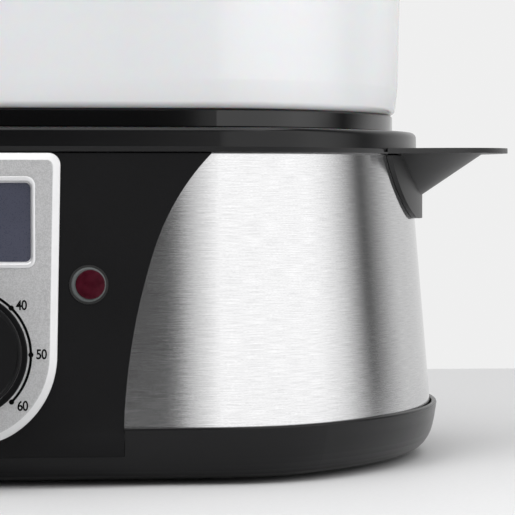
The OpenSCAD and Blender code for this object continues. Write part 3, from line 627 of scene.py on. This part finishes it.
def steel_skin():
    """The steel wrap: a thin sheet from one side of the fascia round the back to the other."""
    flat_cols, rows = 14, 30
    outline = perimeter(26, 116, flat_cols)
    bend = outline[flat_cols:len(outline) - flat_cols + 1]
    length = [0.0]
    for a, b in zip(bend, bend[1:]):
        length.append(length[-1] + math.hypot(b[0] - a[0], b[1] - a[1]))
    # the flat to the right of the fascia, the bend from there round the back, and the flat to its left
    columns = [("right", i) for i in range(flat_cols)] + [("bend", i) for i in range(len(bend))]
    columns += [("left", i) for i in reversed(range(flat_cols))]
    verts, uvs = [], []
    for kind, i in columns:
        for j in range(rows):
            t = j / (rows - 1)
            if kind == "bend":
                x, y, nx, ny = bend[i]
                z = SKIN_FOOT + (skin_height(x, y) - SKIN_FOOT) * t
                s = length[i]
                past = min(s, length[-1] - s)
            else:
                z = SKIN_FOOT + (SKIN_TOP - SKIN_FOOT) * t
                edge = fascia_half(z) + JOIN_GAP
                x = edge + (FLAT_HALF - edge) * i / flat_cols
                s = past = x - FLAT_HALF
                if kind == "left":
                    x, s = -x, length[-1] - s
                y, nx, ny = -HALF_D, 0.0, -1.0
            d = skin_offset(z) - front_ease(past)
            verts.append((x + d * nx, y + d * ny, z))
            uvs.append((s * MM, z * MM))
    faces = ring_faces(len(columns), rows, False, False)
    obj = new_object("steel_wrap", verts, faces, 40, uvs)
    solid = obj.modifiers.new("sheet", "SOLIDIFY")
    solid.thickness = STEEL_T * MM
    solid.offset = -1
    return piece(settle(obj, 40), "brushed_steel", "base", "steel_skin")


def fascia_offset(z):
    """How far in front of the flat front the fascia's leaning face lies at a height."""
    return FACE_D - (z - FACE_Z) * math.tan(FACE_TILT)


def front_fascia():
    """The black front: a leaning face whose sides sweep outwards, and a foot that laps over the tray."""
    thick, flare, flare_top, arc_foot = 2.6, 1.9, 18.5, 22
    rows, cols = 40, 25
    heights = [FASCIA_FOOT, FASCIA_FOOT + 0.25, FASCIA_FOOT + 0.7, 12, 14, 16.2, flare_top, arc_foot]
    heights += [arc_foot + (SKIN_TOP - arc_foot) * i / rows for i in range(1, rows + 1)]
    verts = []

    def outer(z):
        if z >= flare_top:
            return fascia_offset(z)
        t = (flare_top - z) / (flare_top - FASCIA_FOOT)
        return fascia_offset(flare_top) + flare * t * (2 - t) - 0.5 * max(0, (t - 0.9) / 0.1) ** 2

    for z in heights:
        half = fascia_half(z) - JOIN_GAP
        for i in range(cols):
            verts.append((half * (2 * i / (cols - 1) - 1), -HALF_D - outer(z), z))
    obj = new_object("front_fascia_shell", verts, ring_faces(len(heights), cols, False, False), 40)
    solid = obj.modifiers.new("wall", "SOLIDIFY")
    solid.thickness = thick * MM
    solid.offset = -1
    solid.use_even_offset = True
    edge = obj.modifiers.new("edge", "BEVEL")
    edge.width = 0.85 * MM
    edge.segments = 4
    edge.limit_method = "ANGLE"
    edge.angle_limit = math.radians(50)
    return piece(settle(obj, 40), "fascia_black", "base", "front_fascia")


def top_rim():
    """The black rim round the reservoir: a plain outer wall, a flat top and a hook inside."""
    profile = rounded([(-6.3, 101.45, 0.3), (-5.3, 101.9, 0.6), (-4.8, 103.4, 0.8), (-4.85, 109.5, 2.0),
                       (-21.5, 109.5, 0.6), (-21.5, 103.9, 0.2), (-19.7, 103.9, 0.2), (-19.7, 107.3, 0.6),
                       (-8.6, 107.3, 0.8), (-7.1, 106, 0.4), (-7.05, 101.45, 0.1)], 6)
    return piece(sweep("top_rim_moulding", profile), "rim_black", "base", "top_rim")


# ------------------------------------------------------------------ controls

def panel_outline(inset):
    """The panel's front: a rounded top, sides that narrow a little, and a round foot about the knob."""
    corner = max(PANEL_CORNER_R - inset * 0.75, 0.8)
    top = PANEL_TOP - inset
    half_w, r = PANEL_HALF_W - inset, PANEL_FOOT_R - inset
    foot_steps, corner_steps = 48, 12
    points = []
    for i in range(foot_steps + 1):
        a = math.pi + math.pi * i / foot_steps
        points.append((r * math.cos(a), KNOB_V + r * math.sin(a)))
    for cx, start in ((half_w - corner, 0), (corner - half_w, math.pi / 2)):
        for i in range(corner_steps + 1):
            a = start + math.pi / 2 * i / corner_steps
            points.append((cx + corner * math.cos(a), top - corner + corner * math.sin(a)))
    return points


def control_panel():
    """The silver plate, with a rounded edge and a wide chamfer, a display opening and a hole for the nut."""
    back = -0.3
    steps = ((0.25, back), (0.0, 0.2), (0.0, 0.62), (0.1, 0.82), (0.3, 0.96), (2.15, 1.9), (2.3, 1.97),
             (2.5, PANEL_T))
    levels = [(panel_outline(inset), w) for inset, w in steps]
    holes = [rounded_rect(LCD_W, LCD_H, LCD_CORNER_R, 0, LCD_V), circle_points(NUT_HOLE_R, 48, 0, KNOB_V)]
    obj = lay_on_face(layered_plate("control_panel_plate", levels, holes, back))
    return piece(obj, "panel_silver", "base", "control_panel")


def display():
    """The display's narrow bead, the slope inside it that goes down to the glass, and the glass."""
    # each ring's reach past the opening at the sides, the top and the foot, and its lift off the panel
    rings = ((1.05, 1.6, 1.7, 0.0), (1.0, 1.55, 1.65, 0.28), (0.8, 1.3, 1.4, 0.44), (0.5, 0.9, 0.95, 0.5),
             (0.2, 0.45, 0.45, 0.4), (0.02, 0.15, 0.15, 0.1), (-0.06, 0.0, -0.1, -0.3),
             (-0.3, -0.3, -0.35, -0.85), (-0.1, -0.1, -0.1, -0.9))
    verts = []
    for side, top, foot, lift in rings:
        outline = rounded_rect(LCD_W + 2 * side, LCD_H + top + foot, LCD_CORNER_R + side * 0.8, 0,
                               LCD_V + (top - foot) / 2)
        verts += [(x, y, PANEL_T + lift) for x, y in outline]
    count = len(verts) // len(rings)
    bead = new_object("display_bead", verts, ring_faces(len(rings), count, True, True), 35)
    piece(lay_on_face(bead), "bright_bead", "base", "lcd_frame")
    back = 0.1
    levels = []
    for smaller, corner, w in ((0.2, 1.8, back), (0.2, 1.8, 1.0), (0.5, 1.65, 1.1)):
        levels.append((rounded_rect(LCD_W - smaller, LCD_H - smaller, corner, 0, LCD_V), w))
    glass = lay_on_face(layered_plate("display_window", levels, (), back))
    piece(glass, "display_glass", "base", "lcd_window")


def timer_knob():
    """The knob: a skirt with a raised lip, and a cap with a rounded edge and a slightly dished face."""
    foot, cap_r = 2.4, 17.0
    profile = [(0, foot), (cap_r, foot)]
    profile += rounded([(cap_r, foot, 0), (19.0, 2.5, 0.3), (19.0, 4.5, 0.42), (17.1, 4.3, 0.3),
                        (16.95, KNOB_FACE, 0.6), (16.0, KNOB_FACE, 0.3), (15.6, KNOB_FACE - 0.3, 0.3),
                        (0, KNOB_FACE - 0.8, 0)], 6)[1:]
    obj = lathe("timer_knob_cap", profile, 160, 28)
    return piece(lay_on_face(obj, 0, KNOB_V), "knob_black", "timer_knob", "timer_knob")


def knob_pointer():
    """A raised white bar on the knob's face, at zero minutes at rest."""
    outline, inner = rounded_rect(7.8, 1.5, 0.74), rounded_rect(7.4, 1.1, 0.54)
    obj = layered_plate("knob_pointer_bar", [(outline, 0), (outline, 0.5), (inner, 0.72)], (), 0)
    obj.data.transform(Matrix.Rotation(DIAL_START, 4, "Z") @ Matrix.Translation((10.4 * MM, 0, 0)))
    return piece(lay_on_face(obj, 0, KNOB_V, 15.7), "pointer_white", "timer_knob", "knob_pointer")


def dial_number(minutes, x, y):
    """A number of the dial in a narrow face, centred on a place given from the knob's axis."""
    text = bpy.data.curves.new("dial_number_%d" % minutes, "FONT")
    text.body = str(minutes)
    text.size = 4.15 * MM
    text.space_character = 0.92
    text.offset = 0.085 * MM
    text.align_x, text.align_y = "CENTER", "CENTER"
    text.extrude = 0.025 * MM
    shape = bpy.data.objects.new(text.name, text)
    bpy.context.scene.collection.objects.link(shape)
    bpy.context.view_layer.update()
    mesh = bpy.data.meshes.new_from_object(shape.evaluated_get(bpy.context.evaluated_depsgraph_get()))
    bpy.data.objects.remove(shape)
    number = bpy.data.objects.new(text.name, mesh)
    bpy.context.scene.collection.objects.link(number)
    mesh.transform(Matrix.Diagonal((0.84, 1, 1, 1)))
    mesh.transform(Matrix.Translation(Vector((x, y, 0.03)) * MM))
    return number


def dial_print():
    """The dial's black arc, a dot at every ten minutes and the numbers beside the dots."""
    half, low, high, dot_r, dot_high = 0.40, 0.005, 0.05, 0.8, 0.055
    beside = {30: (0, 2.75), 40: (3.1, 0.7), 50: (3.2, 0), 60: (3.35, -1.35)}
    section = ((DIAL_R - half, low), (DIAL_R - half, high), (DIAL_R + half, high), (DIAL_R + half, low))
    verts, steps = [], 180
    for i in range(steps + 1):
        a = DIAL_START - DIAL_SWEEP * i / steps
        verts += [(r * math.cos(a), r * math.sin(a), w) for r, w in section]
    ends = [(0, 1, 2, 3), tuple(4 * steps + i for i in (3, 2, 1, 0))]
    marks = [new_object("dial_arc", verts, ring_faces(steps + 1, 4, False, True) + ends, 60)]
    for minutes in range(0, 70, 10):
        a = DIAL_START - DIAL_SWEEP * minutes / 60
        x, y = DIAL_R * math.cos(a), DIAL_R * math.sin(a)
        dot = lathe("dial_dot_%d" % minutes, [(0, low), (dot_r, low), (dot_r, dot_high), (0, dot_high)], 32)
        dot.data.transform(Matrix.Translation(Vector((x, y, 0)) * MM))
        marks.append(dot)
        along, up = beside[max(minutes, 60 - minutes)]
        marks.append(dial_number(minutes, x + (along if minutes > 30 else -along), y + up))
    for mark in marks:
        lay_on_face(mark, 0, KNOB_V, PANEL_T)
        mark.data.materials.clear()
        mark.data.materials.append(PRINT_BLACK)
        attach(mark, "base")


def indicator():
    """The lamp: a flat dark red lens set in a grey step, inside a thin black ring. The grey of the step is a
    painted reflection of the light on the lens's rounded shoulder. The lens sits off centre to the right, so
    the grey shows wider on the left, as that reflection does.
    """
    # the lens is moved right so that the painted reflection, the grey step, shows wider on its left
    lens_r, reflection_shift, step_r, ring_r = 4.5, 0.45, 5.5, 5.95
    lens = rounded([(0, -2.9, 0), (lens_r, -2.9, 0.2), (lens_r, 1.05, 0.25), (0, 1.1, 0)], 5)
    lens = lay_on_face(lathe("indicator_cap", lens, 96, 50), LAMP[0] + reflection_shift, LAMP[1])
    piece(lens, "lens_red", "base", "indicator_lens")
    # painted reflection: this grey step stands in for the light on the lens's rounded shoulder
    step = rounded([(0, 0.2, 0), (3.6, 0.2, 0), (4.9, 0.45, 0.3), (5.45, 0.1, 0.3), (step_r, -2.6, 0),
                    (0, -2.6, 0)], 4)
    piece(lay_on_face(lathe("indicator_reflection_step", step, 96, 50), *LAMP), "module_grey", "base")
    bore_r = step_r + JOIN_GAP
    ring = rounded([(bore_r, -3, 0), (5.9, -3, 0), (ring_r, 0.12, 0.1), (5.75, 0.34, 0.1),
                    (bore_r, 0.1, 0.08)], 3)
    ring.append((bore_r, -3))
    piece(lay_on_face(lathe("indicator_ring", ring, 96, 50), *LAMP), "holder_black", "base")


# ------------------------------------------------------------------ stacked pieces

def smoothstep(x):
    """An S-shaped rise from 0 to 1."""
    x = min(max(x, 0.0), 1.0)
    return x * x * (3 - 2 * x)


def grip_share(x, y):
    """1 in the middle of each end, where the basket's ledge grows into a grip, and 0 away from it."""
    half_angle, blend = 20.5, 7.5
    if abs(x) < END_ZONE:
        return 0.0
    angle = math.degrees(math.asin(min(abs(y) / END_R, 1)))
    return smoothstep((half_angle - angle) / blend)


def basket(tier):
    """A basket: rounded foot, plain wall, ledge that widens to a grip at each end, and a neck above."""
    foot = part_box(tier + "_basket")[0].z / MM
    seat, height = 0.05, 78

    def profile(x, y):
        grip = grip_share(x, y)
        ledge = -7.7 + 15.7 * grip
        drop = 3.4 * grip
        top = height - drop
        corners = [(-16.7, seat, 0.3), (-12.2, seat, 2.6), (-11.2, 9, 9), (-10.9, 22, 0),
                   (-9.8, 67.4, 1.2), (-8.6 + 9 * grip, 69.2 + 0.5 * grip, 1.5),
                   (ledge - 0.3 * grip, 69.6 + 0.2 * grip, 1.2 + 0.6 * grip),
                   (ledge, top - 0.4 * drop, 1.2 + 0.5 * grip),
                   (-9.6 + 6 * grip, top, 1.0 + 2 * grip), (-11.6, height, 1.0), (-17.2, height, 0.25),
                   (-17.2, 82, 0.5), (-19.2, 82, 0.5), (-19.2, 76.4, 0.6), (-12.2, 73, 3), (-13.3, 13, 0),
                   (-13.6, 6.2, 0.8), (-24, 6.2, 0.5), (-24, 4.4, 0.5), (-16.7, 4.4, 0.3)]
        return rounded([(d, z + foot, r) for d, z, r in corners], 4)

    obj = sweep(tier + "_basket_shell", profile, perimeter(26, 96, 8))
    return piece(obj, "milky_white", tier + "_basket", tier + "_basket")


def vent_cutter(top):
    """Short upright rods through the lid's top, three on each side of the handle."""
    cut = bpy.data.meshes.new("vent_cutter")
    bm = bmesh.new()
    vent_r, depth = 2.4, 16
    for side in (-1, 1):
        for x in (44, 52, 60):
            place = Matrix.Translation(Vector((side * x, 0, top)) * MM)
            bmesh.ops.create_cone(bm, cap_ends=True, segments=32, radius1=vent_r * MM, radius2=vent_r * MM,
                                  depth=depth * MM, matrix=place)
    bm.to_mesh(cut)
    bm.free()
    cutter = bpy.data.objects.new("vent_cutter", cut)
    bpy.context.scene.collection.objects.link(cutter)
    return cutter


def lid():
    """The lid: a rim that stands on the upper basket, a rounded shoulder and a gently crowned top."""
    foot, top = (corner.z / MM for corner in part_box("lid"))
    crown_in, crown_z, under_z, crown_steps = 47, 36.6, 34.4, 8
    crown_rise, wall = top - foot - crown_z, crown_z - under_z
    outer = rounded([(-16.7, 0, 0.3), (-12.5, 0, 0.6), (-11.3, 1.2, 0.8), (-11.2, 6, 6), (-14.2, 17, 9),
                     (-23, 27.6, 14), (-35.6, 34.2, 16), (-crown_in, crown_z, 0)], 6)[1:-1]
    inner = rounded([(-crown_in, under_z, 0), (-36.6, 32, 16), (-24.6, 25.6, 13), (-16.2, 15.4, 8),
                     (-13.6, 6, 4), (-13.6, 4.4, 0.3), (-16.7, 4.4, 0.3)], 6)[1:-1]
    stations = perimeter(26, 72, 8)

    def ring_at(d, z):
        return [(x + d * nx, y + d * ny, z + foot) for x, y, nx, ny in stations]

    def crown(base):
        made = []
        for i in range(crown_steps):
            t = i / crown_steps
            z = base + crown_rise * (1 - (1 - t) ** 2)
            made.append([(x * (1 - t), y * (1 - t), h) for x, y, h in ring_at(-crown_in, z)])
        return made

    above = [ring_at(d, z) for d, z in outer] + crown(crown_z)
    below = list(reversed(crown(under_z))) + [ring_at(d, z) for d, z in inner]
    n = len(stations)
    peak = len(above) * n
    start = peak + 1
    pit = start + len(below) * n
    verts = sum(above, []) + [(0, 0, top)] + sum(below, []) + [(0, 0, top - wall)]
    last, end = peak - n, pit - n
    faces = ring_faces(len(above), n, False, True)
    faces += [tuple(start + i for i in f) for f in ring_faces(len(below), n, False, True)]
    for j in range(n):
        k = (j + 1) % n
        faces += [(last + j, last + k, peak), (start + k, start + j, pit), (end + j, end + k, k, j)]
    obj = new_object("lid_dome", verts, faces, 38)
    apply_cut(obj, vent_cutter(top), 38)
    return piece(obj, "milky_white", "lid", "lid")


# ------------------------------------------------------------------ put together

def dress_cad_nodes():
    """Gives every CAD node that is kept its material, and the spouts a small rounding at their edges."""
    slot_of = {part["node"]: part["material_slot"] for part in frame["record"]["subparts"]}
    for name, node in frame["nodes"].items():
        node.data.materials.clear()
        node.data.materials.append(MATERIALS[slot_of[name]])
        if name in ("fill_spout_right", "fill_spout_left"):
            edge = node.modifiers.new("edge", "BEVEL")
            edge.width = SPOUT_EDGE_R * MM
            edge.segments = 3
            edge.limit_method = "ANGLE"
            edge.angle_limit = math.radians(40)
        soft = node.modifiers.new("even_normals", "WEIGHTED_NORMAL")
        soft.keep_sharp = True


steel_skin()
front_fascia()
top_rim()
control_panel()
display()
timer_knob()
knob_pointer()
dial_print()
indicator()
for tier_name in ("lower", "upper"):
    basket(tier_name)
lid()
dress_cad_nodes()

# ------------------------------------------------------------------ stage, light and camera

def stage_floor():
    """A pale sheet on a table: it ends a little way behind the object."""
    near, far, half = -3.4, 0.37, 3.4
    corners = [(-half, near, 0), (half, near, 0), (half, far, 0), (-half, far, 0)]
    mesh = bpy.data.meshes.new("floor")
    mesh.from_pydata(corners, [], [(0, 1, 2, 3)])
    floor = bpy.data.objects.new("floor", mesh)
    bpy.context.scene.collection.objects.link(floor)
    mat, nodes, links, shader = material("floor_paper", Roughness=0.6)
    fine = noise(nodes, links, 700, detail=3)
    tint(nodes, links, fine, (0.745, 0.745, 0.75), (0.775, 0.775, 0.78), shader)
    bump(nodes, links, fine, 0.05, shader, 0.4)
    mesh.materials.append(mat)


def area_light(name, place, target, size, power):
    """A rectangular light that the camera doesn't see."""
    data = bpy.data.lights.new(name, "AREA")
    data.shape = "RECTANGLE"
    data.size, data.size_y = size
    data.energy = power
    lamp = bpy.data.objects.new(name, data)
    bpy.context.scene.collection.objects.link(lamp)
    lamp.location = place
    lamp.rotation_euler = (Vector(target) - Vector(place)).to_track_quat("-Z", "Y").to_euler()
    lamp.visible_camera = False
    return lamp


def round_the_object(azimuth, distance, height):
    """A place at an azimuth from the front, positive towards +X."""
    a = math.radians(azimuth)
    return (math.sin(a) * distance, -math.cos(a) * distance, height)


def softbox():
    """The key light, a wide panel to the right. Its near edge is dimmer and its far side fades out."""
    left, right, mid_z, height, power = Vector((0.197, -1.635)), Vector((1.525, 0.50)), 0.505, 1.0, 10.9
    middle, across = (left + right) / 2, right - left
    place = Vector((middle.x, middle.y, mid_z))
    facing = Vector((-across.y, across.x, 0)).normalized()
    panel = area_light("right_softbox", place, place + facing, (across.length, height), power).data
    panel.use_nodes = True
    nodes, links = panel.node_tree.nodes, panel.node_tree.links
    where = nodes.new("ShaderNodeNewGeometry")
    axes = nodes.new("ShaderNodeSeparateXYZ")
    links.new(where.outputs["Position"], axes.inputs[0])
    both = nodes.new("ShaderNodeMath")
    both.operation = "MULTIPLY"
    fades = ((left.y, left.y + 0.07 * across.y, 0.45, 1), (left.y + 0.653 * across.y, right.y, 1, 0))
    for i, (start, end, low, high) in enumerate(fades):
        fade = nodes.new("ShaderNodeMapRange")
        fade.interpolation_type = "SMOOTHSTEP"
        fade.inputs["From Min"].default_value = start
        fade.inputs["From Max"].default_value = end
        fade.inputs["To Min"].default_value = low
        fade.inputs["To Max"].default_value = high
        links.new(axes.outputs["Y"], fade.inputs["Value"])
        links.new(fade.outputs["Result"], both.inputs[i])
    links.new(both.outputs["Value"], nodes["Emission"].inputs["Strength"])


def lights():
    """The softboxes, a fill from the left, and a room that is dark in front and pale behind the object."""
    softbox()
    area_light("top_softbox", (0.0, -0.40, 1.75), (0.0, -0.35, 0.1), (2.6, 1.7), 31)
    area_light("left_fill", round_the_object(-40, 1.5, 1.3), (0, 0, 0.15), (0.8, 0.8), 8)
    world = bpy.data.worlds.new("studio")
    bpy.context.scene.world = world
    world.use_nodes = True
    nodes, links = world.node_tree.nodes, world.node_tree.links
    nodes.clear()
    where = nodes.new("ShaderNodeTexCoord")
    axes = nodes.new("ShaderNodeSeparateXYZ")
    links.new(where.outputs["Generated"], axes.inputs[0])
    back = nodes.new("ShaderNodeMapRange")
    back.interpolation_type = "SMOOTHSTEP"
    back.inputs["From Min"].default_value = 0.30
    back.inputs["From Max"].default_value = 0.70
    back.inputs["To Min"].default_value = 0.085
    back.inputs["To Max"].default_value = 0.76
    links.new(axes.outputs["Y"], back.inputs["Value"])
    seen = nodes.new("ShaderNodeLightPath")
    pale = nodes.new("ShaderNodeMix")
    links.new(seen.outputs["Is Camera Ray"], pale.inputs["Factor"])
    links.new(back.outputs["Result"], pale.inputs["A"])
    pale.inputs["B"].default_value = 0.865
    glow = nodes.new("ShaderNodeBackground")
    glow.inputs["Color"].default_value = (1, 1, 1, 1)
    links.new(pale.outputs["Result"], glow.inputs["Strength"])
    out = nodes.new("ShaderNodeOutputWorld")
    links.new(glow.outputs["Background"], out.inputs["Surface"])


def camera():
    """Low and a little to the right of the middle, turned towards the base's right-hand end."""
    data = bpy.data.cameras.new("camera")
    data.sensor_width = 36
    data.lens = 180.9
    data.clip_end = 50
    cam = bpy.data.objects.new("camera", data)
    bpy.context.scene.collection.objects.link(cam)
    cam.location = (0.0063, -0.899, 0.092)
    yaw, pitch = 0.105, 0.0284
    cam.rotation_euler = (math.pi / 2 - pitch, 0, -yaw)
    bpy.context.scene.camera = cam


stage_floor()
lights()
camera()
bpy.context.scene.view_settings.view_transform = "Standard"
